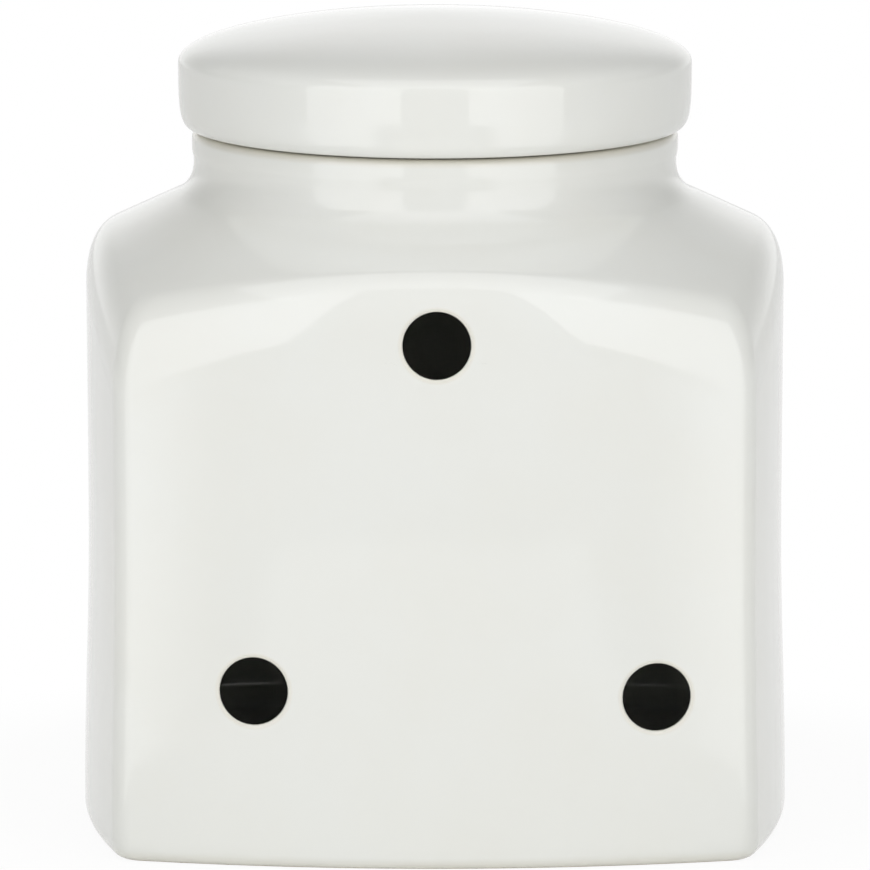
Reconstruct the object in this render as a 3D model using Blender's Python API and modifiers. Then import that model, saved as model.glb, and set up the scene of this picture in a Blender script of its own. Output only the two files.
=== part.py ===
"""Garlic keeper: a square glazed stoneware jar with a round neck, a hollow disc lid and its seal ring.

The jar stands on Z = 0 with its vented face towards -Y. The neck, the lid and the seal
share the Z axis. Metres throughout.
"""

import math

import bmesh
import bpy
from mathutils import Vector

# Jar: the outline seen from above is a square with bowed faces and round corners
BODY_WIDTH = 0.120
FACE_BOW_RADIUS = 0.212
CORNER_RADIUS = 0.0094
WALL = 0.0045

# Jar: heights above the table, and how far the moulded walls draw in on the way up
SHOULDER_HEIGHT = 0.1067
WAIST_HEIGHT = 0.050
WAIST_INSET = 0.0009
SHOULDER_INSET = 0.0007
SHOULDER_SLOPE = math.radians(25)
SHOULDER_EDGE_RUN = 0.0046
SHOULDER_EDGE_DROP = 0.0075

# Jar: the round neck that rises from the shoulder
NECK_RADIUS = 0.0410
NECK_HEIGHT = 0.0095
NECK_FILLET_RADIUS = 0.0065
RIM_BEAD = 0.0003
RIM_ROUNDING = 0.0014

# Jar: the foot ring and the shallow recess inside it
FOOT_ROUNDING = 0.0021
FOOT_RING_WIDTH = 0.0042
FOOT_RECESS = 0.0018
FOOT_RECESS_RUN = 0.0012
FLOOR_ROUNDING = 0.0060

# Vent holes through the front wall: how far right of the middle, and how high, or for the
# top one how far below the shoulder's edge
VENT_DIAMETER = 0.0113
TOP_VENT_X = 0.0003
TOP_VENT_DROP = 0.00994
LEFT_VENT_X = -0.0300
LEFT_VENT_HEIGHT = 0.0298
RIGHT_VENT_X = 0.0367
RIGHT_VENT_HEIGHT = 0.0286

# Lid: a hollow disc whose spigot goes down into the neck
LID_RADIUS = 0.0436
LID_HEIGHT = 0.0196
LID_SIDE_HEIGHT = 0.0115
LID_EDGE_ROUNDING = 0.0042
LID_WALL = 0.0045
LID_HOLLOW_ROUNDING = 0.0025
SPIGOT_DEPTH = 0.0085
SPIGOT_WALL = 0.0045
SPIGOT_ROUNDING = 0.0008

# Lid: the groove that carries the seal
GROOVE_DROP = 0.0021
GROOVE_HEIGHT = 0.0038
GROOVE_DEPTH = 0.0016
SEAL_LIP = 0.0008

# Clearances between separate pieces
SEAT_GAP = 0.0003
SPIGOT_CLEARANCE = 0.0010
SEAL_CLEARANCE = 0.0003

# How far a cutter runs past each surface it cuts
CUT_OVERRUN = 0.0040

# Handles of the lid's dome curve, as shares of its run and of its rise
DOME_RUN_SHARE = 0.30
DOME_RISE_SHARE = 0.67

# A rounding takes at most this share of the length it lies on
ROUNDING_LIMIT_SHARE = 0.45

# Faceting
FACE_STEPS = 5
CORNER_STEPS = 6
CURVE_STEPS = 5
WALL_STEPS = 7
DOME_STEPS = 14
TURN_STEPS = 48
VENT_SIDES = 32

# Heights and radii where the pieces meet
SHOULDER_EDGE_HEIGHT = SHOULDER_HEIGHT - (BODY_WIDTH / 2 - NECK_RADIUS) * math.tan(SHOULDER_SLOPE)
TOP_VENT_HEIGHT = SHOULDER_EDGE_HEIGHT - TOP_VENT_DROP
RIM_HEIGHT = SHOULDER_HEIGHT + NECK_HEIGHT
BORE_RADIUS = NECK_RADIUS - WALL
SEAT_HEIGHT = RIM_HEIGHT + SEAT_GAP
SPIGOT_RADIUS = BORE_RADIUS - SPIGOT_CLEARANCE
GROOVE_RADIUS = SPIGOT_RADIUS - GROOVE_DEPTH
GROOVE_TOP = SEAT_HEIGHT - GROOVE_DROP
GROOVE_BOTTOM = GROOVE_TOP - GROOVE_HEIGHT


def clear_scene():
    """Empty the scene and its old collections."""
    for old in list(bpy.data.objects):
        bpy.data.objects.remove(old)
    for old in list(bpy.data.collections):
        bpy.data.collections.remove(old)


def new_collection(name):
    collection = bpy.data.collections.new(name)
    bpy.context.scene.collection.children.link(collection)
    return collection


def new_material(name, colour, roughness, transmission=0.0):
    material = bpy.data.materials.new(name)
    material.use_nodes = True
    material.diffuse_color = (*colour, 1.0)
    shader = material.node_tree.nodes["Principled BSDF"]
    shader.inputs["Base Color"].default_value = (*colour, 1.0)
    shader.inputs["Roughness"].default_value = roughness
    shader.inputs["Metallic"].default_value = 0.0
    shader.inputs["Transmission Weight"].default_value = transmission
    return material


def arc(centre, radius, start, end, steps):
    """Points on a circle from one angle to another, both ends included."""
    turn = (end - start) / steps
    angles = [start + turn * step for step in range(steps + 1)]
    return [(centre[0] + radius * math.cos(a), centre[1] + radius * math.sin(a)) for a in angles]


def bezier(start, first_handle, second_handle, end, steps):
    """Points on a cubic curve, both ends included."""
    points = []
    for step in range(steps + 1):
        t = step / steps
        weights = ((1 - t) ** 3, 3 * t * (1 - t) ** 2, 3 * t * t * (1 - t), t ** 3)
        corners = (start, first_handle, second_handle, end)
        points.append(tuple(sum(w * c[axis] for w, c in zip(weights, corners)) for axis in (0, 1)))
    return points


def soft_corner(before, corner, after, steps):
    """A curve that leaves one line and meets the next, pulled towards their common corner."""
    points = []
    for step in range(steps + 1):
        t = step / steps
        weights = ((1 - t) ** 2, 2 * t * (1 - t), t * t)
        ends = (before, corner, after)
        points.append(tuple(sum(w * e[axis] for w, e in zip(weights, ends)) for axis in (0, 1)))
    return points


def smooth_step(value, low, high):
    """0 below the low value, 1 above the high one, with an even start and stop between."""
    share = min(max((value - low) / (high - low), 0), 1)
    return (1 - math.cos(math.pi * share)) / 2


def plan_outline(half_width, bow_radius, corner_radius):
    """The jar's outline from above, once round from the middle of the +X face."""
    bow_centre = half_width - bow_radius
    reach = (bow_radius - corner_radius) ** 2
    corner = (bow_centre + math.sqrt(2 * reach - bow_centre ** 2)) / 2
    half_face = math.atan2(corner, corner - bow_centre)
    quarter = arc((bow_centre, 0), bow_radius, 0, half_face, FACE_STEPS)[:-1]
    quarter += arc((corner, corner), corner_radius, half_face, math.pi / 2 - half_face, CORNER_STEPS)[:-1]
    quarter += arc((0, bow_centre), bow_radius, math.pi / 2 - half_face, math.pi / 2, FACE_STEPS)[:-1]
    outline = []
    for turn in range(4):
        for x, y in quarter:
            outline.append(((x, y), (-y, x), (-x, -y), (y, -x))[turn])
    return outline


def wall_inset(height):
    """How far the moulded wall stands inside the foot's outline at a height."""
    to_waist = smooth_step(height, FOOT_ROUNDING, WAIST_HEIGHT)
    past_waist = smooth_step(height, WAIST_HEIGHT, SHOULDER_HEIGHT)
    return WAIST_INSET * to_waist + (SHOULDER_INSET - WAIST_INSET) * past_waist


def limited(size, length):
    """A rounding that its own length can hold."""
    return min(size, length * ROUNDING_LIMIT_SHARE)


def shoulder_profile(reach, neck_radius, line_height, fillet_radius, edge_run, edge_drop):
    """Radius and height from the neck's foot, down the shoulder and round its edge to the wall."""
    slope = math.tan(SHOULDER_SLOPE)
    run = reach - neck_radius
    length = run / math.cos(SHOULDER_SLOPE)
    tangent = limited(fillet_radius * math.tan((math.pi / 2 - SHOULDER_SLOPE) / 2), length)
    edge = limited(edge_run, length)
    down = Vector((math.cos(SHOULDER_SLOPE), -math.sin(SHOULDER_SLOPE)))
    corner = Vector((neck_radius, line_height))
    edge_corner = Vector((reach, line_height - slope * run))
    fillet = soft_corner(corner + Vector((0, tangent)), corner, corner + down * tangent, CURVE_STEPS)
    below = edge_corner - Vector((0, edge_drop))
    rounding = soft_corner(edge_corner - down * edge, edge_corner, below, CURVE_STEPS + 1)
    return fillet + rounding


def outer_meridian(reach):
    """Radius and height of the jar's outside in one direction, from the rim to the foot's middle."""
    rim_radius = NECK_RADIUS + RIM_BEAD
    top = arc((rim_radius - RIM_ROUNDING, RIM_HEIGHT - RIM_ROUNDING), RIM_ROUNDING, math.pi / 2, 0, 3)
    bead = [(rim_radius, RIM_HEIGHT - 2 * RIM_ROUNDING)]
    shoulder = shoulder_profile(
        reach - SHOULDER_INSET, NECK_RADIUS, SHOULDER_HEIGHT, NECK_FILLET_RADIUS,
        SHOULDER_EDGE_RUN, SHOULDER_EDGE_DROP,
    )
    wall_top = shoulder[-1][1]
    shoulder[-1] = (reach - wall_inset(wall_top), wall_top)
    wall = []
    for step in range(1, WALL_STEPS):
        height = wall_top + (FOOT_ROUNDING - wall_top) * step / WALL_STEPS
        wall.append((reach - wall_inset(height), height))
    foot = arc((reach - FOOT_ROUNDING, FOOT_ROUNDING), FOOT_ROUNDING, 0, -math.pi / 2, 3)
    ring_edge = reach - FOOT_ROUNDING - FOOT_RING_WIDTH
    recess = [(ring_edge, 0), (ring_edge - FOOT_RECESS_RUN, FOOT_RECESS)]
    return top + bead + shoulder + wall + foot + recess


def inner_meridian(reach):
    """Radius and height of the jar's inside in one direction, from the rim to the floor."""
    turn_share = math.tan((math.pi / 2 - SHOULDER_SLOPE) / 2)
    top = arc((BORE_RADIUS + RIM_ROUNDING, RIM_HEIGHT - RIM_ROUNDING), RIM_ROUNDING, math.pi / 2, math.pi, 3)
    line_height = SHOULDER_HEIGHT + WALL * math.tan(SHOULDER_SLOPE) - WALL / math.cos(SHOULDER_SLOPE)
    inner_edge = SHOULDER_EDGE_RUN - WALL * turn_share
    inner_drop = SHOULDER_EDGE_DROP - WALL * turn_share
    shoulder = shoulder_profile(
        reach - SHOULDER_INSET, BORE_RADIUS, line_height, NECK_FILLET_RADIUS + WALL,
        max(inner_edge, RIM_ROUNDING), max(inner_drop, RIM_ROUNDING),
    )
    wall_top = shoulder[-1][1]
    shoulder[-1] = (reach - wall_inset(wall_top), wall_top)
    floor = FOOT_RECESS + WALL
    low = floor + FLOOR_ROUNDING
    wall = []
    for step in range(1, WALL_STEPS):
        height = wall_top + (low - wall_top) * step / WALL_STEPS
        wall.append((reach - wall_inset(height), height))
    foot_reach = reach - wall_inset(low)
    foot = arc((foot_reach - FLOOR_ROUNDING, low), FLOOR_ROUNDING, 0, -math.pi / 2, 3)
    return top + shoulder + wall + foot


def loft(name, rings):
    """A closed skin over rings of equally many points, closed by a point at each end."""
    mesh = bpy.data.meshes.new(name)
    skin = bmesh.new()
    made = [[skin.verts.new(point) for point in ring] for ring in rings]
    ends = []
    for ring in (made[0], made[-1]):
        middle = sum((vert.co for vert in ring), Vector()) / len(ring)
        ends.append(skin.verts.new(middle))
    count = len(made[0])
    for upper, lower in zip(made, made[1:]):
        for here in range(count):
            after = (here + 1) % count
            skin.faces.new((upper[here], upper[after], lower[after], lower[here]))
    for here in range(count):
        after = (here + 1) % count
        skin.faces.new((ends[0], made[0][after], made[0][here]))
        skin.faces.new((ends[1], made[-1][here], made[-1][after]))
    bmesh.ops.recalc_face_normals(skin, faces=skin.faces)
    skin.to_mesh(mesh)
    skin.free()
    return bpy.data.objects.new(name, mesh)


def shade_round(mesh):
    mesh.shade_smooth()
    mesh.set_sharp_from_angle(angle=math.radians(35))


def vent_cutter(name, x, height, cutters):
    """A round bar along Y, from in front of the bowed face to behind the wall at the vent."""
    far_side = abs(x) + VENT_DIAMETER / 2
    bow = FACE_BOW_RADIUS - math.sqrt(FACE_BOW_RADIUS ** 2 - far_side ** 2)
    depth = bow + WAIST_INSET + WALL
    mesh = bpy.data.meshes.new(name)
    bar = bmesh.new()
    bmesh.ops.create_cone(
        bar, cap_ends=True, segments=VENT_SIDES, radius1=VENT_DIAMETER / 2,
        radius2=VENT_DIAMETER / 2, depth=depth + 2 * CUT_OVERRUN,
    )
    bar.to_mesh(mesh)
    bar.free()
    cutter = bpy.data.objects.new(name, mesh)
    cutter.location = (x, (depth - BODY_WIDTH) / 2, height)
    cutter.rotation_euler = (math.pi / 2, 0, 0)
    cutter.hide_render = True
    cutter.display_type = "WIRE"
    cutters.objects.link(cutter)
    return cutter


def make_jar(parts, cutters):
    """The body: outside and inside skins joined over the rim, with three vents cut through."""
    outside = plan_outline(BODY_WIDTH / 2, FACE_BOW_RADIUS, CORNER_RADIUS)
    inner_corner = max(CORNER_RADIUS - WALL, RIM_ROUNDING)
    inside = plan_outline(BODY_WIDTH / 2 - WALL, FACE_BOW_RADIUS - WALL, inner_corner)
    meridians = []
    for outer_point, inner_point in zip(outside, inside):
        across = Vector(outer_point)
        within = Vector(inner_point)
        outer = [across.normalized() * radius for radius, _ in outer_meridian(across.length)]
        inner = [within.normalized() * radius for radius, _ in inner_meridian(within.length)]
        outer_heights = [height for _, height in outer_meridian(across.length)]
        inner_heights = [height for _, height in inner_meridian(within.length)]
        line = [(*point, height) for point, height in zip(outer, outer_heights)][::-1]
        line += [(*point, height) for point, height in zip(inner, inner_heights)]
        meridians.append(line)
    jar = loft("jar", list(zip(*meridians)))
    parts.objects.link(jar)
    shade_round(jar.data)
    vents = (
        ("top_vent", TOP_VENT_X, TOP_VENT_HEIGHT),
        ("left_vent", LEFT_VENT_X, LEFT_VENT_HEIGHT),
        ("right_vent", RIGHT_VENT_X, RIGHT_VENT_HEIGHT),
    )
    for name, x, height in vents:
        cut = jar.modifiers.new(name, "BOOLEAN")
        cut.operation = "DIFFERENCE"
        cut.solver = "EXACT"
        cut.object = vent_cutter(name + "_cutter", x, height, cutters)
    return jar


def turned(name, profile, closed):
    """A profile of radius and height points, turned once round the Z axis."""
    mesh = bpy.data.meshes.new(name)
    line = bmesh.new()
    points = [line.verts.new((radius, 0, height)) for radius, height in profile]
    for here, after in zip(points, points[1:]):
        line.edges.new((here, after))
    if closed:
        line.edges.new((points[-1], points[0]))
    line.to_mesh(mesh)
    line.free()
    piece = bpy.data.objects.new(name, mesh)
    screw = piece.modifiers.new("turn", "SCREW")
    screw.steps = TURN_STEPS
    screw.render_steps = TURN_STEPS
    screw.use_merge_vertices = True
    screw.merge_threshold = 0.00001
    screw.use_smooth_shade = True
    return piece


def lid_profile():
    """The lid's outline, from the top of the dome, down and round to the roof of the hollow."""
    top = SEAT_HEIGHT + LID_HEIGHT
    side = SEAT_HEIGHT + LID_SIDE_HEIGHT
    dome_rise = (top - side) * DOME_RISE_SHARE
    profile = bezier(
        (0, top), (LID_RADIUS * DOME_RUN_SHARE, top), (LID_RADIUS, side + dome_rise),
        (LID_RADIUS, side), DOME_STEPS,
    )
    edge = (LID_RADIUS - LID_EDGE_ROUNDING, SEAT_HEIGHT + LID_EDGE_ROUNDING)
    profile += arc(edge, LID_EDGE_ROUNDING, 0, -math.pi / 2, CURVE_STEPS)
    profile += [
        (SPIGOT_RADIUS, SEAT_HEIGHT),
        (SPIGOT_RADIUS, GROOVE_TOP),
        (GROOVE_RADIUS, GROOVE_TOP),
        (GROOVE_RADIUS, GROOVE_BOTTOM),
        (SPIGOT_RADIUS, GROOVE_BOTTOM),
    ]
    bottom = SEAT_HEIGHT - SPIGOT_DEPTH
    bore = SPIGOT_RADIUS - SPIGOT_WALL
    foot = bottom + SPIGOT_ROUNDING
    profile += arc((SPIGOT_RADIUS - SPIGOT_ROUNDING, foot), SPIGOT_ROUNDING, 0, -math.pi / 2, 2)
    profile += arc((bore + SPIGOT_ROUNDING, foot), SPIGOT_ROUNDING, -math.pi / 2, -math.pi, 2)
    ledge = SEAT_HEIGHT + LID_WALL
    hollow = LID_RADIUS - LID_WALL
    profile += [(bore, ledge - SPIGOT_ROUNDING), (bore + SPIGOT_ROUNDING, ledge)]
    corner = (hollow - LID_HOLLOW_ROUNDING, ledge + LID_HOLLOW_ROUNDING)
    profile += arc(corner, LID_HOLLOW_ROUNDING, -math.pi / 2, 0, 3)
    roof = top - LID_WALL
    roof_rise = (roof - side) * DOME_RISE_SHARE
    profile += bezier(
        (hollow, side), (hollow, side + roof_rise), (hollow * DOME_RUN_SHARE, roof),
        (0, roof), CURVE_STEPS + 1,
    )
    return profile


def make_lid(parts):
    """The lid: domed top, round edge, flat seat, grooved spigot and the hollow inside."""
    lid = turned("lid", lid_profile(), closed=False)
    parts.objects.link(lid)
    return lid


def make_seal(parts):
    """The seal: a ring that fills the groove, with two lips that reach out to the neck's bore."""
    inner = GROOVE_RADIUS + SEAL_CLEARANCE
    outer = BORE_RADIUS - SEAL_CLEARANCE
    waist = outer - SEAL_LIP
    top = GROOVE_TOP - SEAL_CLEARANCE
    bottom = GROOVE_BOTTOM + SEAL_CLEARANCE
    third = (top - bottom) / 3
    profile = [
        (inner, top),
        (waist, top),
        (outer, top - third / 2),
        (waist, top - third),
        (waist, bottom + third),
        (outer, bottom + third / 2),
        (waist, bottom),
        (inner, bottom),
    ]
    seal = turned("lid_seal", profile, closed=True)
    parts.objects.link(seal)
    return seal


def main():
    clear_scene()
    parts = new_collection("garlic_keeper")
    cutters = new_collection("cutters")
    glaze = new_material("glazed_stoneware", (0.807, 0.814, 0.776), 0.08)
    lid_glaze = new_material("glazed_stoneware_lid", (0.807, 0.814, 0.776), 0.08)
    silicone = new_material("clear_silicone", (0.86, 0.87, 0.85), 0.42, transmission=0.35)
    for piece, material in (
        (make_jar(parts, cutters), glaze),
        (make_lid(parts), lid_glaze),
        (make_seal(parts), silicone),
    ):
        piece.data.materials.append(material)


main()
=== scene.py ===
"""Garlic keeper, dressed for a studio picture.

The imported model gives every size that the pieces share. The jar, the lid and the seal are
remade here as fine meshes with glazed, bare-clay and silicone finishes, and stand on a pale
table between two tall front lights and an overhead light. Lengths are in metres.
"""

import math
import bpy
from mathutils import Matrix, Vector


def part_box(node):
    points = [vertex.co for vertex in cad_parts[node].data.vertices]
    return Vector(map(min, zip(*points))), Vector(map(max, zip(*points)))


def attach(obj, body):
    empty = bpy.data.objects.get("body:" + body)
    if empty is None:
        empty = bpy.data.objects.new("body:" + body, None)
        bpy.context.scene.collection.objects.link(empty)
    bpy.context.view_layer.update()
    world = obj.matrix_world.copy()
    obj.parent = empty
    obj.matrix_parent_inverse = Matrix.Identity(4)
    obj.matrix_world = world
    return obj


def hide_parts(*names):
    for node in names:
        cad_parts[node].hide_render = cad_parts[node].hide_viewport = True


bl_info = {
    "name": "Garlic Keeper",
    "version": (1, 0, 0),
    "blender": (4, 5, 0),
    "location": "View3D > Sidebar > Keeper",
    "description": "Models and dresses a square glazed garlic keeper with a round lid",
    "category": "Add Mesh",
}

import bmesh
import bpy
from bpy.props import FloatProperty, FloatVectorProperty, PointerProperty, StringProperty
from mathutils import Vector
from mathutils.bvhtree import BVHTree

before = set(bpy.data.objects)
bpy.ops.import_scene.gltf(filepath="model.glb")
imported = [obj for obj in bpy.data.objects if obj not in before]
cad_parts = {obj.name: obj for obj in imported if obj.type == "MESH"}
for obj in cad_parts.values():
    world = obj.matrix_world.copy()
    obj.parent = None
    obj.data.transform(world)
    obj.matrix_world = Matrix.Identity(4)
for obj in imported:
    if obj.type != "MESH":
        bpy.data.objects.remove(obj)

JAR_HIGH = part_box("jar")[1]
LID_LOW, LID_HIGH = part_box("lid")
SEAL_LOW, SEAL_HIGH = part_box("lid_seal")
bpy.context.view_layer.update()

MILLIMETRE = 0.001
PICTURE_SIDE = 870

# Columns of the jar's mesh along half a face and round a corner, and of the turned pieces
FACE_COLUMNS = 28
CORNER_COLUMNS = 24
LID_COLUMNS = 256
SEAL_COLUMNS = 192

# Rows of the meshes along each stretch of a profile
RIM_ROWS = 8
NECK_ROWS = 6
FILLET_ROWS = 12
SHOULDER_ROWS = 8
EDGE_ROWS = 16
WALL_ROWS = 50
INSIDE_ROWS = 50
FOOT_ROWS = 6
RECESS_ROWS = 3
BASE_ROWS = 6
DOME_ROWS = 44
SIDE_ROWS = 30
CORNER_ROWS = 4
ROOF_ROWS = 24
VENT_ROWS = 5

# Two points nearer the axis than this are one pole
POLE_RADIUS = 0.01 * MILLIMETRE

# Handles of the lid's curves, as shares of their run and of their rise
DOME_RUN_SHARE = 0.30
DOME_RISE_SHARE = 0.67
SIDE_RUN_SHARE = 0.94
SIDE_DROP_SHARE = 0.81

# Small forms that only the fine meshes have
RECESS_ROUNDING = 0.4 * MILLIMETRE
VENT_MARGIN = 3.0 * MILLIMETRE
VENT_BAND = 0.9 * MILLIMETRE

# How much rounder the jar's edges grow towards its corners, per metre further from the axis
FOOT_SPREAD = 0.07
EDGE_RUN_SPREAD = 0.30
EDGE_DROP_SPREAD = 0.40

# How thin the glaze runs, from 0 for a full coat to 1 for the least
CLOUD_THINNESS = 0.12
FOOT_THINNESS = 0.6
VENT_THINNESS = 0.5

# What light does in and on the finishes
GLAZE_INDEX = 1.52
SILICONE_INDEX = 1.41
SILICONE_CLEARNESS = 0.45

# Patterns of the finishes, in real sizes
CLOUD_SIZE = 28 * MILLIMETRE
SWELL_SIZE = 16 * MILLIMETRE
SWELL_HEIGHT = 0.05 * MILLIMETRE
RIPPLE_SIZE = 3 * MILLIMETRE
RIPPLE_SHARE = 0.08
GRAIN_SIZE = 0.4 * MILLIMETRE
SPECK_SPACING = 1.6 * MILLIMETRE
WIPE_SIZE = 2.5 * MILLIMETRE
WIPE_RAG = 0.25 * MILLIMETRE
BARE_HEIGHT = 0.2 * MILLIMETRE
HAZE_SIZE = 4 * MILLIMETRE
BLAST_SIZE = 0.15 * MILLIMETRE
TABLE_TOOTH = 1.2 * MILLIMETRE

# The table ends just in front of the keeper, but for a tongue that reaches further forward
TABLE_REACH = 3.0
TABLE_EDGE = 0.08
TABLE_FRONT = 0.36
TONGUE_HALF_WIDTH = 0.10

# How much of the table is plain background: to the camera close to the keeper, where its
# shadow shows until it fades out between two distances, and in the glaze's mirror
TABLE_GLOW_SEEN = 0.93
TABLE_GLOW_MIRRORED = 0.75
SHADOW_FADE_FROM = 0.075
SHADOW_FADE_TO = 0.125

# Each front light stands on both sides, and its span is its width, lower end and upper end.
# The low part stands wider apart and grows dim over a share of its width at each side.
FRONT_LIGHT_DISTANCE = 0.60
FRONT_LIGHT_ANGLE = math.radians(36)
FRONT_LIGHT_SPAN = (0.47, 0.0, 0.68)
LOW_LIGHT_ANGLE = math.radians(43)
LOW_LIGHT_SPAN = (0.50, -0.31, 0.0)
LOW_LIGHT_FADE = 0.28
TOP_LIGHT_PLACE = (0, -0.25, 0.90)
TOP_LIGHT_SIZE = (0.80, 0.90)
TOP_LIGHT_AIM = (0, 0, 0.07)

# In the glaze's mirror, the sines of the heights between which the white wall behind gives
# way to the dim ceiling, and how much lower it does so towards the sides
WALLS_FADE_FROM = 0.25
WALLS_FADE_TO = 0.80
WALLS_SIDE_SHARE = 0.66

# How far back a direction points where the wall starts to give way to the room by the
# camera in that mirror, and where only that room is left
STUDIO_FADE_FROM = -0.2
STUDIO_FADE_TO = -0.6

# How far back less how far up a direction points where the back light starts and is full
BACK_FADE_FROM = 0.55
BACK_FADE_TO = 0.85

# The camera sees nothing past this distance
CAMERA_REACH = 20.0


class JarSizes(bpy.types.PropertyGroup):
    """Sizes of the square jar."""

    half_width: FloatProperty(
        name="Half width", description="From the middle to a face, at the foot",
        default=JAR_HIGH.x, unit="LENGTH", precision=4,
    )
    rim_height: FloatProperty(
        name="Rim height", description="From the table to the top of the neck",
        default=JAR_HIGH.z, unit="LENGTH", precision=4,
    )
    bow_radius: FloatProperty(
        name="Bow radius", description="Radius of the bowed faces, seen from above",
        default=0.212, unit="LENGTH", precision=4,
    )
    corner_radius: FloatProperty(
        name="Corner radius", description="Radius of the upright corners, seen from above",
        default=0.0046, unit="LENGTH", precision=4,
    )
    inner_corner: FloatProperty(
        name="Inner corner", description="Radius of the upright corners inside",
        default=0.0049, unit="LENGTH", precision=4,
    )
    wall: FloatProperty(
        name="Wall", description="Thickness of the cast wall",
        default=0.0045, unit="LENGTH", precision=4,
    )
    neck_radius: FloatProperty(
        name="Neck radius", description="Outside of the neck at its narrowest",
        default=0.0410, unit="LENGTH", precision=4,
    )
    neck_height: FloatProperty(
        name="Neck height", description="From the shoulder's line to the rim",
        default=0.0095, unit="LENGTH", precision=4,
    )
    neck_fillet: FloatProperty(
        name="Neck fillet", description="Radius of the hollow curve where neck meets shoulder",
        default=0.0065, unit="LENGTH", precision=4,
    )
    rim_bead: FloatProperty(
        name="Rim bead", description="How far the rim stands out past the neck",
        default=0.0003, unit="LENGTH", precision=4,
    )
    rim_rounding: FloatProperty(
        name="Rim rounding", description="Radius of the rim's two edges",
        default=0.0014, unit="LENGTH", precision=4,
    )
    shoulder_slope: FloatProperty(
        name="Shoulder slope", description="How steeply the shoulder falls",
        default=math.radians(25), unit="ROTATION",
    )
    edge_run: FloatProperty(
        name="Edge run", description="Length of the shoulder's edge curve up the shoulder",
        default=0.0046, unit="LENGTH", precision=4,
    )
    edge_drop: FloatProperty(
        name="Edge drop", description="Length of the shoulder's edge curve down the wall",
        default=0.0075, unit="LENGTH", precision=4,
    )
    waist_height: FloatProperty(
        name="Waist height", description="Height at which the walls draw in most",
        default=0.050, unit="LENGTH", precision=4,
    )
    waist_inset: FloatProperty(
        name="Waist inset", description="How far the walls draw in at the waist",
        default=0.0009, unit="LENGTH", precision=4,
    )
    shoulder_inset: FloatProperty(
        name="Shoulder inset", description="How far the walls draw in below the shoulder",
        default=0.0007, unit="LENGTH", precision=4,
    )
    foot_rounding: FloatProperty(
        name="Foot rounding", description="Radius of the edge round the foot",
        default=0.0021, unit="LENGTH", precision=4,
    )
    foot_ring: FloatProperty(
        name="Foot ring", description="Width of the flat that stands on the table",
        default=0.0042, unit="LENGTH", precision=4,
    )
    foot_recess: FloatProperty(
        name="Foot recess", description="Depth of the hollow under the base",
        default=0.0018, unit="LENGTH", precision=4,
    )
    floor_rounding: FloatProperty(
        name="Floor rounding", description="Radius inside, where wall meets floor",
        default=0.0060, unit="LENGTH", precision=4,
    )


class VentSizes(bpy.types.PropertyGroup):
    """Sizes and places of the vent holes in the front face."""

    radius: FloatProperty(
        name="Radius", description="Radius of each hole's bore",
        default=0.00565, unit="LENGTH", precision=5,
    )
    rounding: FloatProperty(
        name="Rounding", description="Radius of the glazed edge round each hole",
        default=0.00045, unit="LENGTH", precision=5,
    )
    flare: FloatProperty(
        name="Flare", description="How much wider each hole is at the inside of the wall",
        default=0.0009, unit="LENGTH", precision=5,
    )
    top_place: FloatVectorProperty(
        name="Top hole", description="How far right of the middle and how high",
        default=(0.0003, 0.0879), size=2, unit="LENGTH", precision=4,
    )
    left_place: FloatVectorProperty(
        name="Left hole", description="How far right of the middle and how high",
        default=(-0.0300, 0.0298), size=2, unit="LENGTH", precision=4,
    )
    right_place: FloatVectorProperty(
        name="Right hole", description="How far right of the middle and how high",
        default=(0.0367, 0.0286), size=2, unit="LENGTH", precision=4,
    )


class LidSizes(bpy.types.PropertyGroup):
    """Sizes of the hollow disc lid."""

    radius: FloatProperty(
        name="Radius", description="Widest radius of the lid",
        default=LID_HIGH.x, unit="LENGTH", precision=4,
    )
    top: FloatProperty(
        name="Top", description="Height of the dome's crown above the table",
        default=LID_HIGH.z, unit="LENGTH", precision=4,
    )
    bottom: FloatProperty(
        name="Bottom", description="Height of the spigot's lower edge above the table",
        default=LID_LOW.z, unit="LENGTH", precision=4,
    )
    seat_gap: FloatProperty(
        name="Seat gap", description="Clearance between the lid's seat and the rim",
        default=0.0003, unit="LENGTH", precision=5,
    )
    side_height: FloatProperty(
        name="Side height", description="From the seat to where the lid is widest",
        default=0.0112, unit="LENGTH", precision=4,
    )
    seat_radius: FloatProperty(
        name="Seat radius", description="Where the bellied side turns under to the seat",
        default=0.0406, unit="LENGTH", precision=4,
    )
    wall: FloatProperty(
        name="Wall", description="Thickness of the cast wall",
        default=0.0045, unit="LENGTH", precision=4,
    )
    hollow_rounding: FloatProperty(
        name="Hollow rounding", description="Radius inside, where the ledge meets the side",
        default=0.0025, unit="LENGTH", precision=4,
    )
    spigot_clearance: FloatProperty(
        name="Spigot clearance", description="Between the spigot and the neck's bore",
        default=0.0010, unit="LENGTH", precision=4,
    )
    spigot_wall: FloatProperty(
        name="Spigot wall", description="Thickness of the spigot",
        default=0.0045, unit="LENGTH", precision=4,
    )
    spigot_rounding: FloatProperty(
        name="Spigot rounding", description="Radius of the spigot's lower edges",
        default=0.0008, unit="LENGTH", precision=4,
    )
    groove_drop: FloatProperty(
        name="Groove drop", description="From the seat to the top of the groove",
        default=0.0021, unit="LENGTH", precision=4,
    )
    groove_height: FloatProperty(
        name="Groove height", description="Height of the groove that holds the seal",
        default=0.0038, unit="LENGTH", precision=4,
    )
    groove_depth: FloatProperty(
        name="Groove depth", description="How deep the groove goes into the spigot",
        default=0.0016, unit="LENGTH", precision=4,
    )
    groove_rounding: FloatProperty(
        name="Groove rounding", description="Radius of the groove's glazed edges",
        default=0.0003, unit="LENGTH", precision=5,
    )


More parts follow.
